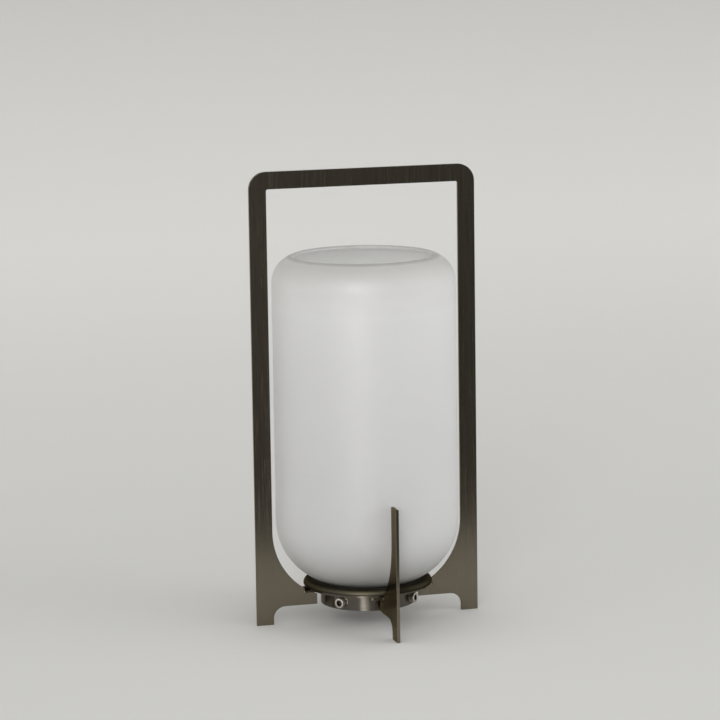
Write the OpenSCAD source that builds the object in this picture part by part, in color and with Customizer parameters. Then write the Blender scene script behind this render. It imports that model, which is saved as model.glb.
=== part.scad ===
// Lantern table lamp: a blown glass shade standing in a portal of flat steel plate, with two
// short plate fins at right angles to the portal and a small turned base between their arms.
// Millimetres, +Z up. The origin is on the lamp's axis, on the table under the feet.
// X runs across the portal and -Y is the front.

/* [Shade] */
// Largest outer radius of the glass, mm
glass_r = 90.3; // [75:0.1:110]
// Height of the glass from its lowest point to its rim, mm
glass_h = 327.4; // [260:0.1:400]
// Wall thickness of the glass, mm
glass_t = 3.5; // [2.8:0.1:4.5]
// Radius of the flat bottom of the glass, from which its rounded heel rises to the side, mm
bottom_r = 26.3; // [20:0.1:40]
// Outer radius of the rounded shoulder of the glass, mm
shoulder_r = 27.8; // [23:0.1:34]
// Radius of the mouth at the top of the glass, mm
mouth_r = 68.5; // [57:0.1:82.5]

/* [Frame] */
// Gap between the glass and the legs of the portal, mm
side_gap = 6.7; // [3:0.1:12]
// Gap between the glass and the legs of the fins, mm
fin_gap = 3.7; // [2:0.1:10]
// Room between the rim of the glass and the bar, mm
handle_h = 68.2; // [62:0.1:90]
// Width of the legs of the portal and of the fins, mm
leg_w = 17; // [14:0.5:21]
// Height of the bar across the top, mm
bar_h = 17; // [12:0.5:22]
// Thickness of the plate of the portal and of the fins, mm
plate_t = 3; // [2.5:0.1:3.6]
// Radius of the portal's outer corners, mm
corner_r = 17; // [8:0.5:24]
// Radius of the portal's inner corners, mm
corner_in_r = 2; // [1:0.5:6]
// Height of the fins, mm
fin_h = 131; // [105:1:160]
// Height of the arms' underside above the table, mm
arch_h = 18; // [15:0.5:22]
// Radius between an arm's underside and its foot, mm
arch_r = 12; // [6:0.1:14.5]

/* [Base] */
// Height of the ears' upper faces, on which the flange plate lies, mm
seat_z = 33.6; // [32:0.1:41]
// Thickness of the flange plate, mm
flange_t = 3; // [2.5:0.1:3.6]
// Height of the dish round the foot of the glass, mm
dish_h = 5.6; // [5:0.1:7]
// Radius of the dish's rounded side, mm
dish_round = 5.2; // [4:0.1:6.3]
// Width of the gasket between the glass and the dish's lip at its top, mm
gasket_w = 7.1; // [5.5:0.1:8.6]
// Height of the ring's lower edge above the table, mm
ring_z = 17.4; // [14:0.1:19]
// Wall thickness of the ring, mm
ring_t = 2.5; // [2:0.1:3.5]

/* [Bulb] */
// Largest radius of the bulb, mm
bulb_r = 30; // [22:0.5:36]
// Length of the bulb from its contact to its top, mm
bulb_h = 110; // [91:0.5:135]

/* [Hidden] */
$fn = 120;

// Heights of the base, upwards
ring_h = seat_z - ring_z;             // height of the ring
flange_top = seat_z + flange_t;
dish_top = flange_top + dish_h;
gasket_drop = 1.3;                    // how far the gasket lies under the dish's top
gasket_top = dish_top - gasket_drop;
pad_t = 0.8;                          // thickness of the pad at the lowest point of the glass
glass_z = flange_top + pad_t;         // lowest point of the glass
heel_r = glass_r - bottom_r;          // radius of the heel, whose centre lies over the flat's edge
heel_z = glass_z + heel_r;            // height of the heel's centre

// The shoulder's curve, and the rounded rim at the end of the wall
shoulder_x = glass_r - shoulder_r;    // radius on which the shoulder's centre lies
rim_r = glass_t / 2;                  // radius of the rounded rim
rim_x = mouth_r + rim_r;              // radius on which the rim's centre lies
mid_shoulder = shoulder_r - rim_r;    // radius of the middle of the wall at the shoulder
rim_rise = sqrt(pow(mid_shoulder, 2) - pow(max(0, rim_x - shoulder_x), 2));
shoulder_z = glass_z + glass_h - rim_r - rim_rise;

// The dish and what is centred under it, each piece set in from the one above
lip_w = 4.5;                          // width of the dish's lip
lip_drop = 0.9;                       // how far the lip's top falls towards the glass
ledge_w = 8.3;                        // width of the ledge that carries the gasket
ledge_h = 2.4;                        // height of that ledge over the flange plate
foot_r = bottom_r + sqrt(pow(heel_r, 2) - pow(heel_z - gasket_top, 2));
lip_in = foot_r + gasket_w;           // radius inside the dish's lip
dish_r = lip_in + lip_w + dish_round;
dish_in = lip_in - ledge_w;           // radius inside the dish's floor
dish_mid_z = dish_top - dish_round;   // height of the middle of its rounded side
flange_in = 3.5;                      // how far the flange plate is set in under the dish
flange_r = dish_r - flange_in;
ring_in = 13.6;                       // how far the ring is set in under the flange plate
ring_r = flange_r - ring_in;

// Where the pieces of the plate work stand
leg_in = glass_r + side_gap;          // inner edge of the portal's legs
fin_in = glass_r + fin_gap;           // inner edge of the fins' legs
frame_w = 2 * (leg_in + leg_w);
frame_h = glass_z + glass_h + handle_h + bar_h;
fin_reach = fin_in + leg_w;           // outer edge of the fins
ear_w = 12.1;                         // width of the portal's ears
ear_flat = 10.5;                      // length of an ear's level part
ear_past = 0.6;                       // how far the portal's ears reach out past the dish
ear_out = dish_r + ear_past;          // outer edge of the portal's ears
ear_in = ear_out - ear_w;             // inner edge of the portal's ears
ear_corner = 3;                       // corner radius of an ear
bend_r = 1;                           // inner radius of the bend at an ear
bend_y = plate_t / 2 + bend_r;        // distance from the middle of the plate to the level part
ear_l = bend_y + ear_flat;            // how far an ear reaches from the middle of its plate
arm_r = ear_in;                       // inner end of the portal's arms
fin_tip = 2.5;                        // how much farther in the fins' arms reach
fin_arm_r = arm_r - fin_tip;          // inner end of the fins' arms
fin_ear_w = 8;                        // width of a fin's ear, which begins at the arm's end
notch_w = 1.2;                        // width of the notch beside the portal's ears
notch_r = ear_out + notch_w;          // wall of that notch
notch_z = seat_z - plate_t - bend_r;  // floor of the notch, where the bend begins
curve_drop = 7.7;                     // how far the arms' curve lies under the glass's heel curve
curve_z = heel_z - curve_drop;        // height of the centre of the arms' curve

// Clearances
fit = 0.1;                            // fixed pieces that slip into one another
glass_gap = 0.3;                      // between the glass and what it rests on
thread_gap = 0.3;                     // between the bulb and the shell and contact it screws to
hole_gap = 0.2;                       // round the shank of a screw in a clearance hole
thread_fit = 0.05;                    // round the shank of a screw in its thread

over = 1;                             // how far a cut runs past the face it opens

// The base ring's cap screws, M6
ring_screw_az = 48;                   // angle from the front and from the back
ring_screw_low = 0.5;                 // how far their axes lie under the middle of the ring
ring_screw_z = ring_z + ring_h / 2 - ring_screw_low;
m6_r = 3;
m6_back = 1;                          // how far their ends lie back in the hub
m6_head_r = 5;
m6_head_h = 6;
m6_hex_r = 2.89;                      // radius over the corners of a 5 mm hexagon
m6_hex_depth = 3;
m6_edge = 0.5;                        // chamfer on the head

// Countersunk screws: of the flange plate and the hub (M4), the ears, the dish and the cover (M3)
m4_r = 2;
csk4_r = 4;
csk4_h = 2;
hub_thread = 6.6;                     // depth of the flange screws' thread in the hub
flange_screw_l = flange_t + hub_thread;
m3_r = 1.5;
csk3_r = 3;
csk3_h = 1.4;
dish_screw_r = lip_in + lip_w / 2;    // radius on which the dish's screws stand
dish_thread = 4;                      // depth of their thread in the dish
dish_screw_l = flange_t + dish_thread;
cover_screw_l = 7;
ear_screw_l = flange_t + plate_t;
ear_hole_in = 3.2;                    // distance from a portal ear's inner edge to its hole
ear_hole_out = 5.5;                   // distance from the bend to the hole
ear_screw_v = bend_y + ear_hole_out;  // distance to the side of the plate's middle
csk_hex_r = 1.15;                     // radius over the corners of a 2 mm hexagon
csk_hex_depth = 0.9;

// The hub and the cover inside the ring
hub_r = ring_r - ring_t - fit;
hub_w = 10.7;                         // width of the hub's ring
hub_in = hub_r - hub_w;               // radius of the space inside the hub
hub_mid = (hub_r + hub_in) / 2;       // radius on which its upright screws stand
ring_screw_l = ring_r - hub_in - m6_back;
cover_t = 1.5;
cover_in = 0.5;                       // how far the cover lies inside the ring's lower edge
cover_z = ring_z + cover_in;
hub_z = cover_z + cover_t;
cover_vent_in = 6;                    // distance of the cover's vents from the hub
cover_vent_r = 2.2;

// The inlet for the supply cord
inlet_az = 112;                       // angle of the inlet, measured from +X
inlet_r = 2.9;                        // radius of its hole
inlet_body_r = 4.6;
inlet_rim_r = 6.4;
inlet_rim_t = 1.6;
inlet_l = 6;                          // how far it reaches into the base

// The hole in the bottom of the glass and the pad round it
bulb_room = 6;                        // room round the bulb for the glass to be lifted off
glass_hole_r = bulb_r + bulb_room;
pad_edge_in = 2;                      // how far the pad is set back from the hole
pad_edge_out = 1;                     // and from the dish
pad_h = 3.4;                          // height of the pad at its outer edge
pad_in = glass_hole_r + pad_edge_in;
pad_out = dish_in - pad_edge_out;

// Nipple, washer and nut through the middle of the flange plate
nipple_r = 5;
nipple_bore = 3.6;
nipple_below = 8;                     // length under the flange plate
nipple_above = 6;                     // length over the flange plate
nut_r = 8.08;                         // radius over the corners of a 14 mm hexagon
nut_h = 3;
washer_r = 9;
washer_t = 1.2;

// The earth screw under the flange plate
earth_hex_r = 1.44;                   // radius over the corners of a 2.5 mm hexagon
earth_hex_depth = 1.4;
earth_in = 8;                         // distance of its axis from the hub
earth_x = hub_in - earth_in;
earth_head_r = 3.8;
earth_head_h = 2.4;
earth_tag_t = 1;
earth_tag_w = 7;
earth_tag_l = 12;
earth_tag_hole_r = 1.8;

// The lampholder for an E27 bulb
cap_r = 19.5;                         // outer radius of the lower cup
cap_h = 18;
cap_floor = 3.5;                      // thickness of the cup's floor
cap_wall = 1.8;
skirt_h = 29;
skirt_top_r = 17.6;                   // outer radius of the upper sleeve at its top
skirt_gap = 0.48;                     // between the sleeve's top and the bulb's housing
collar_r = 21.5;                      // radius of the sleeve's grip collar
collar_h = 5;
insert_r = 15.2;                      // ceramic block that carries the contacts
insert_h = 10;
insert_lift = 4;                      // space for the terminals between cup floor and block
wire_way_r = 1.8;
wire_way_x = 7;                       // distance of the wires' ways from the axis
shell_t = 0.5;                        // wall of the threaded shell
shell_h = 22;
tongue_t = 0.6;                       // thickness of the contact springs
tongue_w = 5;
tongue_rise = 1.6;

// The bulb
bulb_cap_r = 13.1;                    // radius of the E27 cap over its thread
bulb_shell_in = bulb_cap_r + thread_gap;
bulb_cap_h = 20;
bulb_neck_r = 14;                     // radius of the housing at the cap
tip_r = 4.8;                          // radius of the middle contact
tip_h = 1.2;
insulator_h = 4;
insulator_r = 5.8;                    // radius of the insulator at the middle contact
insulator_in = 1;                     // how far its other end lies inside the cap's radius
housing_h = 30;                       // height of the tapered housing
housing_in = 2;                       // how far the housing's top lies inside the bulb's radius
housing_r = bulb_r - housing_in;

holder_z = flange_top;
skirt_z = holder_z + cap_h;
insert_z = holder_z + cap_floor + insert_lift;
insert_top = insert_z + insert_h;
bulb_z = insert_top + tongue_rise + thread_gap;
bulb_shell_z = bulb_z + tip_h + insulator_h;
housing_z = bulb_shell_z + bulb_cap_h;
housing_slope = (housing_r - bulb_neck_r) / housing_h;
skirt_over = skirt_z + skirt_h - housing_z;  // how far the sleeve reaches up round the housing
skirt_in = bulb_neck_r + housing_slope * skirt_over + skirt_gap;
globe_z = bulb_z + bulb_h - bulb_r;   // centre of the round top

eps = 0.01;
quarter = 90;
half = 180;
right_angles = [0, 90, 180, 270];
portal_hole = ear_in + ear_hole_in;   // distance out along the arm to an ear's hole
fin_hole = fin_arm_r + fin_ear_w / 2;
ear_holes = [[0, portal_hole], [90, fin_hole], [180, portal_hole], [270, fin_hole]];
diagonals = [45, 135, 225, 315];
ring_screw_angles = [
    ring_screw_az - quarter,
    -ring_screw_az - quarter,
    ring_screw_az + quarter,
    quarter - ring_screw_az
];
cover_angles = [30, 150, 270];
vent_count = 8;

// ---- Shared shapes ----

// Turns a flat drawing (radius, height) into a plate standing along +X
module plate() {
    rotate([quarter, 0, 0])
        linear_extrude(height = plate_t, center = true)
            children();
}

// The hollow an arm and its leg leave round the glass, with the notch beside the ear
module hollow(edge, inner) {
    translate([bottom_r, curve_z])
        circle(r = edge - bottom_r);
    translate([inner - over, notch_z])
        square([notch_r - inner + over, curve_z - notch_z]);
}

// The arch under an arm, rounded towards the foot
module arch(edge, inner) {
    translate([inner - over, -over])
        square([edge - arch_r - inner + over, arch_h + over]);
    translate([inner - over, -over])
        square([edge - inner + over, arch_h - arch_r + over]);
    translate([edge - arch_r, arch_h - arch_r])
        circle(r = arch_r);
}

// An ear: the plate's tab bent over level to the side, with its threaded hole.
// It is drawn for the arm along +X and lies on that arm's -Y side.
module ear(inner, outer, hole) {
    difference() {
        union() {
            // the bend, a quarter of a tube
            intersection() {
                translate([inner, -bend_y, notch_z])
                    rotate([0, quarter, 0])
                        difference() {
                            cylinder(r = bend_r + plate_t, h = outer - inner);
                            translate([0, 0, -over])
                                cylinder(r = bend_r, h = outer - inner + 2 * over);
                        }
                translate([inner, -bend_y, notch_z])
                    cube([outer - inner, bend_r + plate_t, bend_r + plate_t]);
            }
            // the level part, with rounded corners
            translate([0, 0, seat_z - plate_t])
                linear_extrude(height = plate_t) {
                    translate([inner, ear_corner - ear_l])
                        square([outer - inner, ear_l - ear_corner - bend_y]);
                    translate([inner + ear_corner, -ear_l])
                        square([outer - inner - 2 * ear_corner, ear_l - bend_y]);
                    for (u = [inner + ear_corner, outer - ear_corner])
                        translate([u, ear_corner - ear_l])
                            circle(r = ear_corner);
                }
        }
        translate([hole, -ear_screw_v, seat_z - plate_t - over])
            cylinder(r = m3_r + thread_fit, h = plate_t + 2 * over);
    }
}

// A countersunk screw with its face at z = 0 and its shank downwards
module countersunk(head_r, head_h, shank_r, length) {
    difference() {
        union() {
            translate([0, 0, -head_h])
                cylinder(r1 = shank_r, r2 = head_r, h = head_h);
            translate([0, 0, -length])
                cylinder(r = shank_r, h = length - head_h + eps);
        }
        translate([0, 0, -csk_hex_depth])
            cylinder(r = csk_hex_r, h = csk_hex_depth + over, $fn = 6);
    }
}

// The hole for such a screw in the piece that its head sits in
module countersink(head_r, head_h, shank_r, depth) {
    translate([0, 0, -head_h])
        cylinder(r1 = shank_r + hole_gap, r2 = head_r + hole_gap, h = head_h + eps);
    translate([0, 0, -depth])
        cylinder(r = shank_r + hole_gap, h = depth);
}

// A quarter of a disc to the right of its centre: the upper one, or else the lower one
module quarter_disc(radius, up) {
    intersection() {
        circle(r = radius);
        translate([0, up ? 0 : -radius])
            square([radius, radius]);
    }
}

// Half the section of the glass, filled, its outline moved inwards by `wall`
module glass_half(wall) {
    edge = glass_r - wall;
    heel = heel_r - wall;
    shoulder = shoulder_r - wall;
    bottom = heel_z - heel;
    translate([bottom_r, heel_z])
        quarter_disc(heel, false);
    translate([shoulder_x, shoulder_z])
        quarter_disc(shoulder, true);
    translate([0, bottom])
        square([bottom_r, shoulder_z - bottom]);
    translate([bottom_r, heel_z])
        square([edge - bottom_r, shoulder_z - heel_z]);
    translate([0, shoulder_z])
        square([shoulder_x, shoulder]);
}

// ---- Plate work ----

module portal_frame() color([0.20, 0.19, 0.17]) {
    plate() difference() {
        // outline with rounded top corners
        union() {
            translate([-frame_w / 2, 0])
                square([frame_w, frame_h - corner_r]);
            translate([corner_r - frame_w / 2, frame_h - corner_r])
                square([frame_w - 2 * corner_r, corner_r]);
            for (s = [-1, 1])
                translate([s * (frame_w / 2 - corner_r), frame_h - corner_r])
                    circle(r = corner_r);
        }
        // opening between the legs, with small inner corners at its top
        translate([-leg_in, curve_z])
            square([2 * leg_in, frame_h - bar_h - corner_in_r - curve_z]);
        translate([corner_in_r - leg_in, frame_h - bar_h - corner_in_r - eps])
            square([2 * (leg_in - corner_in_r), corner_in_r + eps]);
        for (s = [-1, 1])
            translate([s * (leg_in - corner_in_r), frame_h - bar_h - corner_in_r])
                circle(r = corner_in_r);
        // space between the two arms
        translate([-arm_r, -over])
            square([2 * arm_r, curve_z + over]);
        for (m = [0, 1])
            mirror([m, 0]) {
                hollow(leg_in, arm_r);
                arch(leg_in, arm_r);
            }
    }
    ear(ear_in, ear_out, portal_hole);
    rotate([0, 0, half])
        ear(ear_in, ear_out, portal_hole);
}

// A fin with its ear, drawn along +X
module fin() {
    plate() difference() {
        translate([fin_arm_r, 0])
            square([fin_reach - fin_arm_r, fin_h]);
        translate([fin_arm_r - over, curve_z])
            square([fin_in - fin_arm_r + over, fin_h - curve_z + over]);
        hollow(fin_in, fin_arm_r);
        arch(fin_in, fin_arm_r);
    }
    ear(fin_arm_r, fin_arm_r + fin_ear_w, fin_hole);
}

module front_fin() color([0.24, 0.22, 0.20])
    rotate([0, 0, -quarter])
        fin();

module rear_fin() color([0.24, 0.22, 0.20])
    rotate([0, 0, quarter])
        fin();

// Countersunk screws through the flange plate into the ears
module ear_screws() color([0.55, 0.54, 0.52])
    for (e = ear_holes)
        rotate([0, 0, e[0]])
            translate([e[1], -ear_screw_v, flange_top])
                countersunk(csk3_r, csk3_h, m3_r, ear_screw_l);

// ---- Base ----

module flange_plate() color([0.33, 0.31, 0.28])
    translate([0, 0, seat_z]) difference() {
        cylinder(r = flange_r, h = flange_t);
        translate([0, 0, -over])
            cylinder(r = nipple_r + fit, h = flange_t + 2 * over);
        for (e = ear_holes)
            rotate([0, 0, e[0]]) {
                translate([e[1], -ear_screw_v, flange_t])
                    countersink(csk3_r, csk3_h, m3_r, flange_t + over);
                translate([hub_mid, 0, flange_t])
                    countersink(csk4_r, csk4_h, m4_r, flange_t + over);
            }
        for (a = diagonals)
            rotate([0, 0, a])
                translate([dish_screw_r, 0, 0])
                    mirror([0, 0, 1])
                        countersink(csk3_r, csk3_h, m3_r, flange_t + over);
        translate([earth_x, 0, -over])
            cylinder(r = m4_r + thread_fit, h = flange_t + 2 * over);
    }

module flange_screws() color([0.55, 0.54, 0.52])
    for (a = right_angles)
        rotate([0, 0, a])
            translate([hub_mid, 0, flange_top])
                countersunk(csk4_r, csk4_h, m4_r, flange_screw_l);

module base_ring() color([0.33, 0.31, 0.28])
    difference() {
        translate([0, 0, ring_z])
            cylinder(r = ring_r, h = ring_h);
        translate([0, 0, ring_z - over])
            cylinder(r = ring_r - ring_t, h = ring_h + 2 * over);
        for (a = ring_screw_angles)
            rotate([0, 0, a])
                translate([hub_in, 0, ring_screw_z])
                    rotate([0, quarter, 0])
                        cylinder(r = m6_r + hole_gap, h = ring_r);
        rotate([0, 0, inlet_az])
            translate([hub_in, 0, ring_screw_z])
                rotate([0, quarter, 0])
                    cylinder(r = inlet_body_r + fit, h = ring_r);
    }

module ring_screws() color([0.62, 0.61, 0.58])
    for (a = ring_screw_angles)
        rotate([0, 0, a])
            translate([ring_r, 0, ring_screw_z])
                rotate([0, quarter, 0])
                    difference() {
                        union() {
                            translate([0, 0, -ring_screw_l])
                                cylinder(r = m6_r, h = ring_screw_l + over);
                            cylinder(r = m6_head_r, h = m6_head_h - m6_edge);
                            translate([0, 0, m6_head_h - m6_edge])
                                cylinder(r1 = m6_head_r, r2 = m6_head_r - m6_edge, h = m6_edge);
                        }
                        translate([0, 0, m6_head_h - m6_hex_depth])
                            cylinder(r = m6_hex_r, h = m6_hex_depth + over, $fn = 6);
                    }

module base_hub() color([0.62, 0.62, 0.62])
    difference() {
        translate([0, 0, hub_z])
            cylinder(r = hub_r, h = seat_z - hub_z);
        translate([0, 0, hub_z - over])
            cylinder(r = hub_in, h = seat_z - hub_z + 2 * over);
        for (a = ring_screw_angles)
            rotate([0, 0, a])
                translate([hub_in - over, 0, ring_screw_z])
                    rotate([0, quarter, 0])
                        cylinder(r = m6_r + thread_fit, h = ring_r);
        rotate([0, 0, inlet_az])
            translate([hub_in - over, 0, ring_screw_z])
                rotate([0, quarter, 0])
                    cylinder(r = inlet_body_r + fit, h = ring_r);
        for (a = right_angles)
            rotate([0, 0, a])
                translate([hub_mid, 0, flange_top - flange_screw_l - over])
                    cylinder(r = m4_r + thread_fit, h = flange_screw_l + over);
        for (a = cover_angles)
            rotate([0, 0, a])
                translate([hub_mid, 0, hub_z - over])
                    cylinder(r = m3_r + thread_fit, h = cover_screw_l + over);
    }

module bottom_cover() color([0.20, 0.19, 0.17])
    difference() {
        translate([0, 0, cover_z])
            cylinder(r = hub_r, h = cover_t);
        for (a = cover_angles)
            rotate([0, 0, a])
                translate([hub_mid, 0, cover_z])
                    mirror([0, 0, 1])
                        countersink(csk3_r, csk3_h, m3_r, cover_t + over);
        for (i = [0 : vent_count - 1])
            rotate([0, 0, i * 2 * half / vent_count])
                translate([hub_in - cover_vent_in, 0, cover_z - over])
                    cylinder(r = cover_vent_r, h = cover_t + 2 * over);
    }

module cover_screws() color([0.55, 0.54, 0.52])
    for (a = cover_angles)
        rotate([0, 0, a])
            translate([hub_mid, 0, cover_z])
                mirror([0, 0, 1])
                    countersunk(csk3_r, csk3_h, m3_r, cover_screw_l);

// The bushing the supply cord enters through; its rim lies against the ring
module cable_bushing() color([0.08, 0.08, 0.08])
    rotate([0, 0, inlet_az])
        translate([ring_r, 0, ring_screw_z])
            rotate([0, quarter, 0])
                difference() {
                    union() {
                        translate([0, 0, -inlet_l])
                            cylinder(r = inlet_body_r, h = inlet_l + inlet_rim_t);
                        cylinder(r = inlet_rim_r, h = inlet_rim_t);
                    }
                    translate([0, 0, -inlet_l - over])
                        cylinder(r = inlet_r, h = inlet_l + inlet_rim_t + 2 * over);
                }

// Tag for the earth wire, clamped under the flange plate
module earth_tag() color([0.75, 0.65, 0.35])
    translate([earth_x, 0, seat_z - earth_tag_t])
        difference() {
            union() {
                cylinder(r = earth_tag_w / 2, h = earth_tag_t);
                translate([-earth_tag_l, -earth_tag_w / 2, 0])
                    cube([earth_tag_l, earth_tag_w, earth_tag_t]);
            }
            translate([0, 0, -over])
                cylinder(r = m4_r + hole_gap, h = earth_tag_t + 2 * over);
            translate([earth_tag_w / 2 - earth_tag_l, 0, -over])
                cylinder(r = earth_tag_hole_r, h = earth_tag_t + 2 * over);
        }

module earth_screw() color([0.55, 0.54, 0.52])
    translate([earth_x, 0, seat_z - earth_tag_t])
        difference() {
            union() {
                translate([0, 0, -earth_head_h])
                    cylinder(r = earth_head_r, h = earth_head_h);
                cylinder(r = m4_r, h = earth_tag_t + flange_t);
            }
            translate([0, 0, -earth_head_h - over])
                cylinder(r = earth_hex_r, h = earth_hex_depth + over, $fn = 6);
        }

// The turned dish: a ring with a rounded side, a lip that falls a little towards the glass,
// and a ledge for the gasket
module glass_dish() color([0.26, 0.25, 0.20])
    difference() {
        rotate_extrude() {
            polygon([
                [dish_in, flange_top],
                [dish_r - dish_round, flange_top],
                [dish_r - dish_round, dish_top],
                [lip_in, dish_top - lip_drop],
                [lip_in, flange_top + ledge_h],
                [dish_in, flange_top + ledge_h]
            ]);
            intersection() {
                translate([dish_r - dish_round, dish_mid_z])
                    circle(r = dish_round);
                translate([dish_r - dish_round - eps, flange_top])
                    square([dish_r, dish_h]);
            }
        }
        for (a = diagonals)
            rotate([0, 0, a])
                translate([dish_screw_r, 0, seat_z])
                    cylinder(r = m3_r + thread_fit, h = dish_screw_l);
    }

module dish_screws() color([0.55, 0.54, 0.52])
    for (a = diagonals)
        rotate([0, 0, a])
            translate([dish_screw_r, 0, seat_z])
                mirror([0, 0, 1])
                    countersunk(csk3_r, csk3_h, m3_r, dish_screw_l);

// Soft ring between the glass and the dish's lip, shaped to the glass
module seat_gasket() color([0.06, 0.06, 0.06])
    rotate_extrude() difference() {
        translate([dish_in, flange_top + ledge_h])
            square([lip_in - fit - dish_in, gasket_top - flange_top - ledge_h]);
        glass_half(-glass_gap);
    }

// Soft ring under the glass, shaped to its heel
module seat_pad() color([0.80, 0.80, 0.78])
    rotate_extrude() difference() {
        translate([pad_in, flange_top])
            square([pad_out - pad_in, pad_h]);
        glass_half(-glass_gap);
    }

// ---- Shade ----

module glass_shade() color([0.90, 0.90, 0.88, 0.9])
    rotate_extrude() {
        difference() {
            glass_half(0);
            glass_half(glass_t);
            // hole in the bottom
            square([glass_hole_r, heel_z]);
            // mouth, up to the middle of the rounded rim
            translate([0, shoulder_z])
                square([rim_x, shoulder_r + over]);
        }
        translate([rim_x, shoulder_z + rim_rise])
            circle(r = rim_r);
    }

// ---- Lampholder ----

module nipple() color([0.75, 0.65, 0.35])
    translate([0, 0, seat_z - nipple_below])
        difference() {
            cylinder(r = nipple_r, h = nipple_below + flange_t + nipple_above);
            translate([0, 0, -over])
                cylinder(r = nipple_bore, h = nipple_below + flange_t + nipple_above + 2 * over);
        }

module nipple_washer() color([0.70, 0.70, 0.68])
    translate([0, 0, seat_z - washer_t])
        difference() {
            cylinder(r = washer_r, h = washer_t);
            translate([0, 0, -over])
                cylinder(r = nipple_r + fit, h = washer_t + 2 * over);
        }

module nipple_nut() color([0.75, 0.65, 0.35])
    translate([0, 0, seat_z - washer_t - nut_h])
        difference() {
            cylinder(r = nut_r, h = nut_h, $fn = 6);
            translate([0, 0, -over])
                cylinder(r = nipple_r + thread_fit, h = nut_h + 2 * over);
        }

// Lower cup of the lampholder, screwed on the nipple
module holder_cap() color([0.93, 0.93, 0.91])
    translate([0, 0, holder_z])
        difference() {
            cylinder(r = cap_r, h = cap_h);
            translate([0, 0, cap_floor])
                cylinder(r = cap_r - cap_wall, h = cap_h);
            translate([0, 0, -over])
                cylinder(r = nipple_r + thread_fit, h = cap_floor + 2 * over);
        }

// Upper sleeve with its grip collar; it clamps the shell and the ceramic block
module holder_skirt() color([0.93, 0.93, 0.91])
    translate([0, 0, skirt_z])
        difference() {
            union() {
                cylinder(r1 = cap_r, r2 = skirt_top_r, h = skirt_h);
                cylinder(r = collar_r, h = collar_h);
            }
            translate([0, 0, -over])
                cylinder(r = skirt_in, h = skirt_h + 2 * over);
        }

module holder_insert() color([0.95, 0.94, 0.90])
    translate([0, 0, insert_z])
        difference() {
            union() {
                cylinder(r = insert_r, h = insert_h);
                // foot that stands in the cup
                translate([0, 0, -insert_lift])
                    difference() {
                        cylinder(r = insert_r, h = insert_lift);
                        translate([0, 0, -over])
                            cylinder(r = insert_r - cap_wall, h = insert_lift + over);
                    }
            }
            // two ways for the wires
            for (s = [-1, 1])
                translate([s * wire_way_x, 0, -over])
                    cylinder(r = wire_way_r, h = insert_h + 2 * over);
        }

module holder_shell() color([0.78, 0.68, 0.40])
    translate([0, 0, insert_top])
        difference() {
            cylinder(r = bulb_shell_in + shell_t, h = shell_h);
            translate([0, 0, -over])
                cylinder(r = bulb_shell_in, h = shell_h + 2 * over);
        }

// Spring tongue under the bulb's middle contact
module centre_contact() color([0.80, 0.72, 0.45])
    translate([0, -tongue_w / 2, insert_top]) {
        translate([-tongue_w, 0, 0])
            cube([tongue_t, tongue_w, tongue_rise]);
        translate([-tongue_w, 0, tongue_rise - tongue_t])
            cube([2 * tongue_w, tongue_w, tongue_t]);
    }

// Spring tongue against the side of the shell
module side_contact() color([0.80, 0.72, 0.45])
    translate([bulb_cap_r - tongue_w, -tongue_w / 2, insert_top])
        cube([tongue_w, tongue_w, tongue_t]);

// ---- Bulb ----

module bulb_contact() color([0.80, 0.80, 0.78])
    translate([0, 0, bulb_z])
        cylinder(r1 = tip_r - tip_h, r2 = tip_r, h = tip_h);

module bulb_insulator() color([0.12, 0.12, 0.12])
    translate([0, 0, bulb_z + tip_h])
        cylinder(r1 = insulator_r, r2 = bulb_cap_r - insulator_in, h = insulator_h);

module bulb_cap() color([0.82, 0.82, 0.80])
    translate([0, 0, bulb_shell_z])
        cylinder(r = bulb_cap_r, h = bulb_cap_h);

module bulb_housing() color([0.94, 0.94, 0.92])
    translate([0, 0, housing_z])
        cylinder(r1 = bulb_neck_r, r2 = housing_r, h = housing_h);

module bulb_globe() color([0.97, 0.97, 0.95])
    union() {
        translate([0, 0, globe_z])
            difference() {
                sphere(r = bulb_r);
                translate([0, 0, -2 * bulb_r])
                    cylinder(r = bulb_r + over, h = 2 * bulb_r);
            }
        translate([0, 0, housing_z + housing_h])
            cylinder(r1 = housing_r, r2 = bulb_r, h = globe_z - housing_z - housing_h);
    }

portal_frame();
front_fin();
rear_fin();
ear_screws();
flange_plate();
flange_screws();
base_ring();
ring_screws();
base_hub();
bottom_cover();
cover_screws();
cable_bushing();
earth_screw();
earth_tag();
glass_dish();
dish_screws();
seat_gasket();
seat_pad();
glass_shade();
nipple();
nipple_washer();
nipple_nut();
holder_cap();
holder_skirt();
holder_insert();
holder_shell();
centre_contact();
side_contact();
bulb_cap();
bulb_insulator();
bulb_contact();
bulb_housing();
bulb_globe();
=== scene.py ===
import bpy
import bmesh
from math import sin, cos, pi, radians
from mathutils import Vector, Matrix


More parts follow.
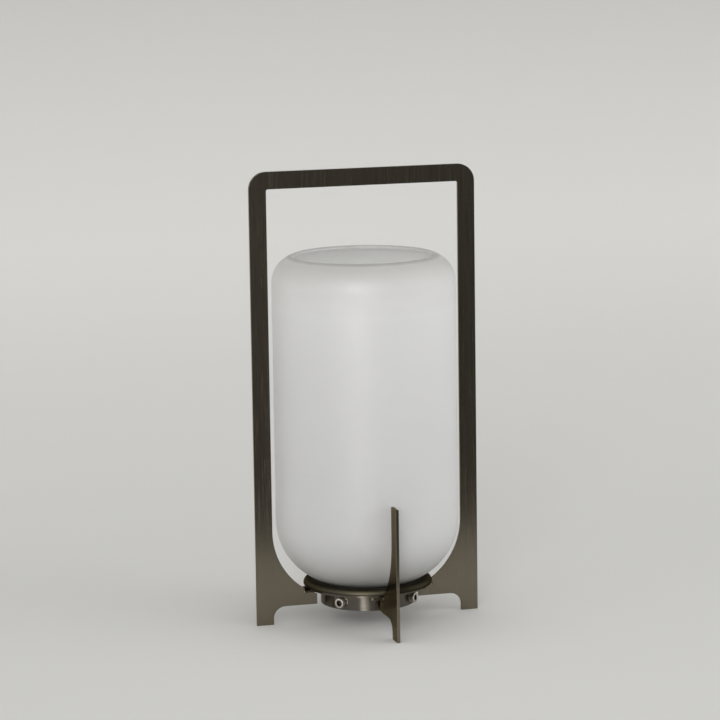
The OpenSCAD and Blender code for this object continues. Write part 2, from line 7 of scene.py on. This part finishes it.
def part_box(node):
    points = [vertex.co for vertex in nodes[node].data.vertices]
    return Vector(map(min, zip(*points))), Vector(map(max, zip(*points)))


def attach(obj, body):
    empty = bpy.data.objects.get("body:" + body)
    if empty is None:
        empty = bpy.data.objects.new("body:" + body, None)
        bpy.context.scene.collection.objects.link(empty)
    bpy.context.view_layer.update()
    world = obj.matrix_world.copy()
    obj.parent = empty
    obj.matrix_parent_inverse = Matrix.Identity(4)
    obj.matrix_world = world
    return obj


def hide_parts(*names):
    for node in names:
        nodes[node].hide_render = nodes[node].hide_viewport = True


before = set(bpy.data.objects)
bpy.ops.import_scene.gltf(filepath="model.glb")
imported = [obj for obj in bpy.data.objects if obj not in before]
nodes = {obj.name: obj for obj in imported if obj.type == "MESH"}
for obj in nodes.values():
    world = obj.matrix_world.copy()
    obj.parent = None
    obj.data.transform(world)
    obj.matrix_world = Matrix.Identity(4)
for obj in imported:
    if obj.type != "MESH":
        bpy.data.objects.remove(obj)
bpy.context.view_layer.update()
scene = bpy.context.scene
MM = 0.001

# ---------------------------------------------------------------- camera
# Fitted to the straight edges of the frame in the photograph: pixels, metres and angles.
PICTURE, FOCAL = 720, 3262.3
DISTANCE, AIM_SIDE, AIM_HEIGHT = 3.2125, -0.004427, 0.259935
AZIMUTH, ELEVATION, ROLL = radians(15.246), radians(9.455), radians(-0.832)
SENSOR = 36


def make_camera():
    back = Vector((-sin(AZIMUTH) * cos(ELEVATION), -cos(AZIMUTH) * cos(ELEVATION), sin(ELEVATION)))
    side = Vector((cos(AZIMUTH), -sin(AZIMUTH), 0))
    place = AIM_SIDE * side + Vector((0, 0, AIM_HEIGHT)) + DISTANCE * back
    right = (-back).cross(Vector((0, 0, 1))).normalized()
    up = right.cross(-back)
    x = cos(ROLL) * right + sin(ROLL) * up
    y = -sin(ROLL) * right + cos(ROLL) * up
    data = bpy.data.cameras.new("camera")
    data.sensor_width = SENSOR
    data.lens = FOCAL * SENSOR / PICTURE
    data.clip_end = 50
    data.dof.use_dof = False
    cam = bpy.data.objects.new("camera", data)
    cam.matrix_world = Matrix.Translation(place) @ Matrix((x, y, back)).transposed().to_4x4()
    scene.collection.objects.link(cam)
    scene.camera = cam


make_camera()
scene.view_settings.view_transform = "Standard"


# ---------------------------------------------------------------- node helpers
class Nodes:
    """Short ways to make and join the nodes of a material or a world, emptied first.

    A value is a number, a tuple or another node's socket. In a keyword that names a socket,
    an underscore stands for a space."""

    def __init__(self, owner):
        owner.use_nodes = True
        self.tree = owner.node_tree
        self.tree.nodes.clear()

    def put(self, value, socket):
        if isinstance(value, bpy.types.NodeSocket):
            self.tree.links.new(value, socket)
        else:
            socket.default_value = value

    def drive(self, node, **values):
        for key, value in values.items():
            self.put(value, node.inputs[key.replace("_", " ")])
        return node

    def node(self, kind, **values):
        return self.drive(self.tree.nodes.new("ShaderNode" + kind), **values)

    def coord(self, space="Object"):
        return self.node("TexCoord").outputs[space]

    def axes(self, space="Object"):
        """The X, Y and Z sockets of a place."""
        return self.node("SeparateXYZ", Vector=self.coord(space)).outputs

    def math(self, operation, *values, kind="Math", out=0):
        n = self.node(kind)
        n.operation = operation
        for value, socket in zip(values, n.inputs):
            self.put(value, socket)
        return n.outputs[out]

    def ramp(self, value, low, high, a=0.0, b=1.0):
        """Maps a value between two positions onto two values."""
        n = self.node("MapRange", Value=value, From_Min=low, From_Max=high, To_Min=a, To_Max=b)
        return n.outputs["Result"]

    def mix(self, factor, a, b):
        """Mixes two colours by a factor."""
        n = self.node("Mix")
        n.data_type = "RGBA"
        self.put(factor, n.inputs["Factor"])
        for value, socket in ((a, n.inputs[6]), (b, n.inputs[7])):
            self.put((*value, 1) if isinstance(value, tuple) else value, socket)
        return n.outputs[2]

    def noise(self, scale, stretch=(1, 1, 1), detail=3.0, rough=0.5):
        place = self.node("Mapping", Vector=self.coord(), Scale=stretch).outputs["Vector"]
        n = self.node("TexNoise", Vector=place, Scale=scale, Detail=detail, Roughness=rough)
        return n.outputs["Fac"]

    def rings(self, scale):
        """Noise that is the same all round the Z axis, for turned surfaces."""
        x, y, z = self.axes()
        square = self.math("ADD", self.math("MULTIPLY", x, x), self.math("MULTIPLY", y, y))
        place = self.node("CombineXYZ", X=self.math("SQRT", square), Z=z).outputs["Vector"]
        n = self.node("TexNoise", Vector=place, Scale=scale, Detail=3.0, Roughness=0.65)
        return n.outputs["Fac"]


class Mat(Nodes):
    """A material with a Principled shader, to which its look adds procedural layers."""

    def __init__(self, name, base, rough, metallic=0.0, **sockets):
        self.material = bpy.data.materials.new(name)
        super().__init__(self.material)
        self.shader = self.node("BsdfPrincipled", Base_Color=(*base, 1), Roughness=rough,
                                Metallic=metallic, **sockets)
        self.node("OutputMaterial", Surface=self.shader.outputs["BSDF"])

    def look(self, **values):
        self.drive(self.shader, **values)

    def bump(self, height, strength, depth):
        n = self.node("Bump", Height=height, Strength=strength, Distance=depth)
        self.look(Normal=n.outputs["Normal"])


def shade(c, k):
    return tuple(min(v * k, 1.0) for v in c)


def spread(m, factor, base, depth):
    """A colour that runs from a little darker to a little lighter with a noise."""
    return m.mix(m.ramp(factor, 0.3, 0.7), shade(base, 1 - depth), shade(base, 1 + depth))


LINE, LENGTH = 1500, 22  # noise scales across and along a brush line
LINES_TO_CLOUDS = 0.4
# Painted shade: the colour that a metal's lower edge darkens to, standing in for the shade beneath
# it
UNDERSIDE_PAINTED_SHADE = (0.022, 0.019, 0.012)


def brushed(name, base, rough, along, depth=0.10, bump=0.10, cloudy=0.05, painted_shade_heights=None, **sockets):
    """Metal with fine lines along one axis or round Z, and soft clouds of tone.
    painted_shade_heights gives two heights between which painted shade darkens it towards its lower
    edge."""
    m = Mat(name, base, rough, 1.0, **sockets)
    if along == "round":
        fine = m.rings(LINE)
        tangent = m.node("Tangent")
        tangent.direction_type = "RADIAL"
        tangent.axis = "Z"
        m.look(Tangent=tangent.outputs["Tangent"])
    else:
        fine = m.noise(1.0, {"z": (LINE, LINE, LENGTH), "x": (LENGTH, LINE, LINE)}[along], 2.0, 0.6)
    cloud = m.noise(16.0, (1, 1, 0.4))
    color = m.mix(LINES_TO_CLOUDS, spread(m, fine, base, depth), spread(m, cloud, base, cloudy))
    # painted shade: the colour darkens towards the lower edge between the two heights
    if painted_shade_heights:
        color = m.mix(m.ramp(m.axes()["Z"], *painted_shade_heights), UNDERSIDE_PAINTED_SHADE, color)
    m.look(Base_Color=color, Roughness=m.ramp(fine, 0.25, 0.75, rough - 0.05, rough + 0.06))
    m.bump(fine, bump, 0.01 * MM)
    return m.material


def grained(name, base, rough, scale, depth=0.06):
    """A moulded, cast or painted surface: fine grain and faint clouds."""
    m = Mat(name, base, rough)
    fine = m.noise(scale, detail=4.0, rough=0.6)
    cloud = m.noise(scale / 18, detail=2.0)
    m.look(Base_Color=spread(m, cloud, base, depth),
           Roughness=m.ramp(fine, 0.3, 0.7, rough - 0.05, rough + 0.05))
    m.bump(fine, 0.05, 0.05 * MM)
    return m.material


def opal():
    """Blown opal glass, whose colour painted shade darkens towards the bottom and over the outer
    top curve, between the heights given in metres."""
    # painted light: the inner surface's colour is lighter than the outer one's
    base, inside_painted_light = (0.94, 0.94, 0.93), (0.985, 0.985, 0.97)
    foot_painted_shade, shoulder_painted_shade, rim_painted_shade = shade(base, 0.18), (0.625, 0.608, 0.59), (0.42, 0.41, 0.395)
    m = Mat("opal_glass", base, 0.48, IOR=1.46, Subsurface_Weight=1.0,
            Subsurface_Radius=(1.0, 1.0, 0.97), Subsurface_Scale=0.02)
    z = m.axes()["Z"]
    cloud = m.noise(9.0, (1, 1, 0.4))
    # painted shade: the glass darkens towards the bottom, where less light reaches it
    body = m.mix(m.math("POWER", m.ramp(z, 0.040, 0.135, 1.0, 0.0), 1.8),
                 spread(m, cloud, base, 0.01), foot_painted_shade)
    # the outer and inner surfaces are told apart by the way the surface faces, from the axis or to
    # it; the inner one is painted lighter, as painted light
    level = m.math("MULTIPLY", m.coord(), (1, 1, 0), kind="VectorMath")
    facing = m.math("DOT_PRODUCT", level, m.coord("Normal"), kind="VectorMath", out="Value")
    outside = m.ramp(facing, -0.005, 0.005)
    color = m.mix(outside, inside_painted_light, body)
    # painted shade: the outer surface darkens over the top curve, where less light falls from above
    color = m.mix(m.math("MULTIPLY", m.ramp(z, 0.315, 0.360), outside), color, shoulder_painted_shade)
    # painted shade: a dark line round the edge of the mouth
    color = m.mix(m.ramp(z, 0.3622, 0.3640), color, rim_painted_shade)
    fine = m.noise(60.0, (1, 1, 0.3), 2.0)
    m.look(Base_Color=color, Roughness=m.ramp(fine, 0.3, 0.7, 0.46, 0.50))
    m.bump(cloud, 0.04, 0.6 * MM)
    return m.material


# ---------------------------------------------------------------- materials
TURNED = {"Anisotropic": 0.95, "Anisotropic_Rotation": 0.25, "Specular_Tint": (0.6, 0.57, 0.5, 1)}
M = {
    "plate": brushed("dark_plate", (0.205, 0.180, 0.138), 0.23, "z", 0.05, bump=0.03, cloudy=0.03,
                     Specular_Tint=(0.5, 0.45, 0.38, 1)),
    "ring": brushed("base_metal", (0.120, 0.110, 0.093), 0.23, "round", **TURNED),
    # the dish's lower, downward-facing side is darkened by painted shade
    "dish": brushed("dish_metal", (0.074, 0.067, 0.047), 0.50, "round", 0.12,
                    painted_shade_heights=(0.0366, 0.0395), Specular_Tint=(0.35, 0.33, 0.27, 1)),
    "cover": grained("cover_paint", (0.150, 0.140, 0.130), 0.6, 900, 0.1),
    "steel": brushed("screw_steel", (0.50, 0.49, 0.46), 0.25, "x", 0.08),
    "dark_steel": brushed("ring_screw_steel", (0.46, 0.43, 0.38), 0.30, "z"),
    # painted highlight: a lighter copy of the ring screws' steel for their end faces
    "painted_highlight_steel": brushed("ring_screw_face_painted_highlight", (0.58, 0.55, 0.48), 0.30, "z", 0.06),
    # painted shade: a near-black copy of the same steel for the hex sockets, where shade falls
    "socket": brushed("ring_screw_socket_painted_shade", (0.035, 0.032, 0.028), 0.40, "z"),
    "alu": brushed("hub_aluminium", (0.55, 0.55, 0.55), 0.35, "round", 0.08),
    "black": grained("black_plastic", (0.012, 0.012, 0.012), 0.5, 1400, 0.2),
    "brass": brushed("contact_brass", (0.62, 0.47, 0.20), 0.28, "round", 0.08),
    "gasket": grained("gasket_rubber", (0.070, 0.065, 0.048), 0.6, 1200, 0.2),
    "pad": grained("pad_rubber", (0.60, 0.60, 0.57), 0.6, 1200, 0.04),
    "glass": opal(),
    "holder": grained("holder_plastic", (0.82, 0.82, 0.79), 0.4, 700, 0.02),
    "ceramic": grained("holder_ceramic", (0.80, 0.78, 0.72), 0.6, 500, 0.04),
    "cap": brushed("cap_aluminium", (0.68, 0.68, 0.66), 0.25, "round", 0.06),
    "bulb": grained("bulb_plastic", (0.84, 0.84, 0.81), 0.45, 800, 0.02),
    "globe": grained("bulb_diffuser", (0.86, 0.86, 0.84), 0.35, 900, 0.01),
}
USES = {
    "portal_frame": "plate", "front_fin": "plate", "rear_fin": "plate",
    "flange_plate": "ring", "base_ring": "ring", "glass_dish": "dish",
    "ear_screws": "steel", "flange_screws": "steel", "ring_screws": "dark_steel",
    "cover_screws": "steel", "dish_screws": "steel", "earth_screw": "steel",
    "nipple_washer": "steel", "base_hub": "alu", "bottom_cover": "cover",
    "cable_bushing": "black", "earth_tag": "brass", "seat_gasket": "gasket",
    "seat_pad": "pad", "glass_shade": "glass", "nipple": "brass", "nipple_nut": "brass",
    "holder_cap": "holder", "holder_skirt": "holder", "holder_insert": "ceramic",
    "holder_shell": "brass", "centre_contact": "brass", "side_contact": "brass",
    "bulb_cap": "cap", "bulb_insulator": "black", "bulb_contact": "cap",
    "bulb_housing": "bulb", "bulb_globe": "globe",
}
for name, obj in nodes.items():
    obj.data.materials.clear()
    obj.data.materials.append(M[USES[name]])


def soften(name):
    """Rounds a CAD node's sharp edges a little, with modifiers only."""
    o = nodes[name]
    weld = o.modifiers.new("weld", "WELD")
    weld.merge_threshold = 0.002 * MM
    bevel = o.modifiers.new("bevel", "BEVEL")
    bevel.width = 0.25 * MM
    bevel.segments = 2
    bevel.limit_method = "ANGLE"
    bevel.angle_limit = radians(40)
    normals = o.modifiers.new("normals", "WEIGHTED_NORMAL")
    normals.keep_sharp = True


for name in ("portal_frame", "front_fin", "rear_fin", "base_ring", "flange_plate"):
    soften(name)


# ---------------------------------------------------------------- detailed pieces
def add_mesh(name, verts, faces, mats, sharp, kinds=None):
    """A new piece from vertices and faces, smooth except over edges sharper than an angle.
    Kinds gives each face's place in the list of materials."""
    me = bpy.data.meshes.new(name)
    me.from_pydata([tuple(v) for v in verts], [], faces)
    for m in mats:
        me.materials.append(m)
    if kinds:
        me.polygons.foreach_set("material_index", kinds)
    bm = bmesh.new()
    bm.from_mesh(me)
    bmesh.ops.remove_doubles(bm, verts=bm.verts, dist=1e-7)
    bmesh.ops.recalc_face_normals(bm, faces=bm.faces)
    for e in bm.edges:
        if len(e.link_faces) == 2:
            e.smooth = e.calc_face_angle() < radians(sharp)
    for f in bm.faces:
        f.smooth = True
    bm.to_mesh(me)
    bm.free()
    o = bpy.data.objects.new(name, me)
    scene.collection.objects.link(o)
    return o


def loft(rows, closed=False):
    """Vertices, and faces between rows of equal length, each of them a closed loop.
    Closed joins the last row to the first."""
    n = len(rows[0])
    verts = [v for row in rows for v in row]
    faces = []
    for i in range(len(rows) - (0 if closed else 1)):
        a, b = i * n, ((i + 1) % len(rows)) * n
        for j in range(n):
            k = (j + 1) % n
            faces.append((a + j, a + k, b + k, b + j))
    return verts, faces


def cap_screw(head_r, head_h, shank_r, shank_l, hex_r, hex_depth):
    """A knurled socket cap screw along +Z with its bearing face at z = 0, in millimetres.
    Faces are of three kinds: 0 the sides, 1 the face, lighter as painted highlight, 2 the socket,
    near black as painted shade."""
    knurls, per_knurl = 44, 4
    n = knurls * per_knurl
    angles = [2 * pi * (j + 0.5) / n for j in range(n)]
    point, tip, pitch, groove, floor_r = 0.01, 0.5, 1.0, 0.45, 0.9

    def circle(r, z, knurl=0.0):
        """A circle whose knurls are cut by a share of its radius."""
        row = []
        for j, a in enumerate(angles):
            k = 1.0 - knurl if j % per_knurl in (1, 2) else 1.0
            row.append(Vector((r * k * cos(a), r * k * sin(a), z)))
        return row

    def hexagon(corner_r, z):
        row = []
        for a in angles:
            b = (a + pi / 6) % (pi / 3) - pi / 6
            r = corner_r * cos(pi / 6) / cos(b)
            row.append(Vector((r * cos(a), r * sin(a), z)))
        return row

    sides = [circle(point, -shank_l), circle(shank_r - tip, -shank_l)]
    z = -shank_l + tip
    while z + pitch < -0.6:
        sides += [circle(shank_r, z), circle(shank_r, z + 0.25),
                  circle(shank_r - groove, z + 0.55), circle(shank_r - groove, z + 0.75)]
        z += pitch
    sides += [circle(shank_r, z), circle(shank_r, 0)]
    sides += [circle(head_r - 0.25, 0), circle(head_r, 0.3, 0.02), circle(head_r, 0.55, 0.035),
              circle(head_r, head_h - 1.35, 0.035), circle(head_r, head_h - 1.15, 0.012),
              circle(head_r, head_h - 0.95), circle(head_r - 0.02, head_h - 0.55)]
    face = [circle(head_r - 0.22, head_h - 0.16), circle(head_r - 0.6, head_h),
            circle(hex_r + 0.35, head_h)]
    socket = [circle(hex_r + 0.02, head_h - 0.35), hexagon(hex_r, head_h - 0.36),
              hexagon(hex_r, head_h - hex_depth), circle(floor_r, head_h - hex_depth - 0.3),
              circle(point, head_h - hex_depth - 0.7)]
    verts, faces = loft(sides + face + socket)
    strips = [0] * len(sides) + [1] * len(face) + [2] * (len(socket) - 1)
    return verts, faces, [kind for kind in strips for _ in range(n)]


RING_SCREW_Z = 25.0
RING_SCREWS = ((-42, 20), (-138, 4), (138, 47), (42, 11))  # each one's azimuth and turn


def ring_screws():
    """The four knurled cap screws round the ring, as one piece."""
    lo, hi = node_box("base_ring")
    ring_r = 0.5 * (hi[0] - lo[0])
    verts, faces, kinds = cap_screw(head_r=5.0, head_h=6.0, shank_r=3.0, shank_l=15.0,
                                    hex_r=2.89, hex_depth=3.0)
    all_v, all_f = [], []
    for azimuth, turn in RING_SCREWS:
        place = (Matrix.Rotation(radians(azimuth), 4, "Z") @
                 Matrix.Translation((ring_r, 0, RING_SCREW_Z)) @
                 Matrix.Rotation(pi / 2, 4, "Y") @ Matrix.Rotation(radians(turn), 4, "Z"))
        first = len(all_v)
        all_v += [(place @ v) * MM for v in verts]
        all_f += [tuple(first + i for i in f) for f in faces]
    # the faces take the painted highlight and the sockets the painted shade
    o = add_mesh("ring_cap_screws", all_v, all_f, [M["dark_steel"], M["painted_highlight_steel"], M["socket"]],
                 35, kinds * len(RING_SCREWS))
    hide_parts("ring_screws")
    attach(o, "base")


def node_box(name):
    """A CAD node's two corners, in millimetres."""
    lo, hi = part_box(name)
    return [v / MM for v in lo], [v / MM for v in hi]


def turned(profile, cut, n):
    """Rows of circles about Z from (radius, height) pairs; cut(a, z) takes some radius away."""
    rows = []
    for r, z in profile:
        row = []
        for j in range(n):
            a = 2 * pi * j / n
            k = r - cut(a, z)
            row.append(Vector((k * cos(a), k * sin(a), z)))
        rows.append(row)
    return rows


def bulb_cap():
    """The bulb's rolled E27 cap, in the space of its plain CAD solid."""
    lo, hi = node_box("bulb_cap")
    r, z0, z1 = 0.5 * (hi[0] - lo[0]), lo[2], hi[2]
    point, step, pitch, valley, fade = 0.05, 0.25, 25.4 / 7, 1.15, 1.5
    start, end = z0 + 0.6, z1 - 1.6

    def cut(a, z):
        """The thread's depth at a place, fading out at both ends."""
        ends = max(0.0, min(1.0, (z - start) / fade, (end - z) / fade))
        return valley * ends * (0.5 + 0.5 * cos(2 * pi * z / pitch - a))

    steps = int((z1 - z0 - 1.0) / step)
    prof = [(point, z0), (r - 1.1, z0), (r - 0.9, z0 + 0.25)]
    prof += [(r - 0.15, z0 + 0.8 + step * i) for i in range(steps)]
    prof += [(r, z1 - 0.9), (r, z1 - 0.2), (r - 0.2, z1), (point, z1)]
    verts, faces = loft(turned(prof, cut, 120))
    o = add_mesh("bulb_cap_threaded", [v * MM for v in verts], faces, [M["cap"]], 50)
    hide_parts("bulb_cap")
    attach(o, "bulb")


def holder_sleeve():
    """The holder's sleeve with a ribbed grip collar, in the space of its plain CAD solid."""
    lo, hi = node_box("holder_skirt")
    out, z0, z1 = 0.5 * (hi[0] - lo[0]), lo[2], hi[2]
    low_r, top_r, bore_r, collar_h = 19.5, 17.6, 15.65, 5.0
    zc = z0 + collar_h
    ribs, rib_depth, rib_end = 40, 0.55, 0.7

    def cut(a, z):
        """The grip's ribs, on the collar only."""
        if z0 + rib_end < z < zc - rib_end:
            return rib_depth * (0.5 - 0.5 * cos(ribs * a)) ** 2
        return 0.0

    def cone(z):
        return low_r + (top_r - low_r) * (z - z0) / (z1 - z0)

    prof = [(bore_r, z0), (out - 0.5, z0), (out - 0.12, z0 + 0.15), (out, z0 + 0.5)]
    prof += [(out, z0 + 0.75), (out, z0 + 1.1), (out, zc - 1.1), (out, zc - 0.75), (out, zc - 0.5)]
    prof += [(out - 0.15, zc - 0.15), (out - 0.5, zc)]
    prof += [(cone(zc) + 0.05, zc), (cone(zc + 0.4), zc + 0.4)]
    prof += [(cone(z1 - 0.6), z1 - 0.6), (cone(z1) - 0.15, z1 - 0.15), (cone(z1) - 0.6, z1)]
    prof += [(bore_r + 0.3, z1), (bore_r, z1 - 0.3)]
    verts, faces = loft(turned(prof, cut, 240), True)
    o = add_mesh("holder_sleeve", [v * MM for v in verts], faces, [M["holder"]], 40)
    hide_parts("holder_skirt")
    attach(o, "base")


bulb_cap()
holder_sleeve()
ring_screws()


# ---------------------------------------------------------------- stage and light
FLOOR = (0.84, 0.838, 0.825)
WALL = (0.95, 0.946, 0.930)


def stage_material():
    """The floor's tone near the lamp, the wall's behind it, and a darker one higher up as painted
    shade.
    """
    m = Mat("stage", FLOOR, 0.7, Specular_IOR_Level=0.0)
    _, y, z = m.axes()
    color = m.mix(m.ramp(y, 0.3, 1.6), FLOOR, WALL)
    # painted shade: the wall darkens higher up
    m.look(Base_Color=m.mix(m.ramp(z, 0.1, 0.5), color, shade(WALL, 0.76)))
    return m.material


def stage():
    """A floor that runs up into a backdrop in one bend, far behind the object."""
    half_width, front, bend_y, bend_r, top, steps = 7.0, -6.0, 1.6, 1.6, 6.0, 16
    prof = [(front, 0.0), (bend_y, 0.0)]
    for i in range(1, steps + 1):
        a = pi / 2 * i / steps
        prof.append((bend_y + bend_r * sin(a), bend_r - bend_r * cos(a)))
    prof.append((bend_y + bend_r, top))
    me = bpy.data.meshes.new("floor")
    verts = [(x, y, z) for y, z in prof for x in (-half_width, half_width)]
    faces = [(2 * i, 2 * i + 1, 2 * i + 3, 2 * i + 2) for i in range(len(prof) - 1)]
    me.from_pydata(verts, [], faces)
    for p in me.polygons:
        p.use_smooth = True
    o = bpy.data.objects.new("floor", me)
    scene.collection.objects.link(o)
    me.materials.append(stage_material())


stage()


def flag():
    """A grey card in front of the lamp, beyond the edge of the view. Only reflections show it:
    it stands for the darker room that the frame's upper part mirrors over the table's edge."""
    left, right, y, top = -0.13, 1.3, -0.345, 2.6
    me = bpy.data.meshes.new("flag")
    me.from_pydata([(left, y, 0.0), (right, y, 0.0), (right, y, top), (left, y, top)], [],
                   [(0, 1, 2, 3)])
    m = bpy.data.materials.new("flag")
    t = Nodes(m)
    glow = t.node("Emission", Color=(1.0, 0.99, 0.97, 1), Strength=0.085)
    t.node("OutputMaterial", Surface=glow.outputs["Emission"])
    me.materials.append(m)
    o = bpy.data.objects.new("flag", me)
    o.visible_camera = False
    o.visible_diffuse = False
    o.visible_transmission = False
    o.visible_volume_scatter = False
    o.visible_shadow = False
    scene.collection.objects.link(o)


flag()
LAMPS_AIM = Vector((0, 0, 0.1))


def area(name, pos, size, watts, color=(1, 1, 1), gloss=False):
    """A soft box; one with gloss is a reflector that only reflections show."""
    d = bpy.data.lights.new(name, "AREA")
    d.shape = "RECTANGLE"
    d.size, d.size_y = size
    d.energy = watts
    d.color = color
    o = bpy.data.objects.new(name, d)
    o.location = pos
    o.rotation_euler = (LAMPS_AIM - Vector(pos)).to_track_quat("-Z", "Y").to_euler()
    o.visible_diffuse = not gloss
    o.visible_transmission = not gloss
    scene.collection.objects.link(o)


area("key", (2.4, -1.5, 1.0), (1.8, 1.6), 11, (1.0, 0.995, 0.985))
area("window", (-1.45, -3.3, 1.25), (0.9, 2.4), 25)
area("reflector", (-1.45, -3.35, 1.25), (1.25, 2.4), 128, (1.0, 0.965, 0.95), True)


def room():
    """A pale room all round, whose ceiling is darker than its walls."""
    walls, ceiling = 1.08, 0.50
    scene.world = bpy.data.worlds.new("world")
    t = Nodes(scene.world)
    height = t.axes("Generated")["Z"]
    light = t.node("Background", Color=(1.0, 0.997, 0.985, 1),
                   Strength=t.ramp(height, 0.0, 0.8, walls, ceiling))
    t.node("OutputWorld", Surface=light.outputs["Background"])


room()
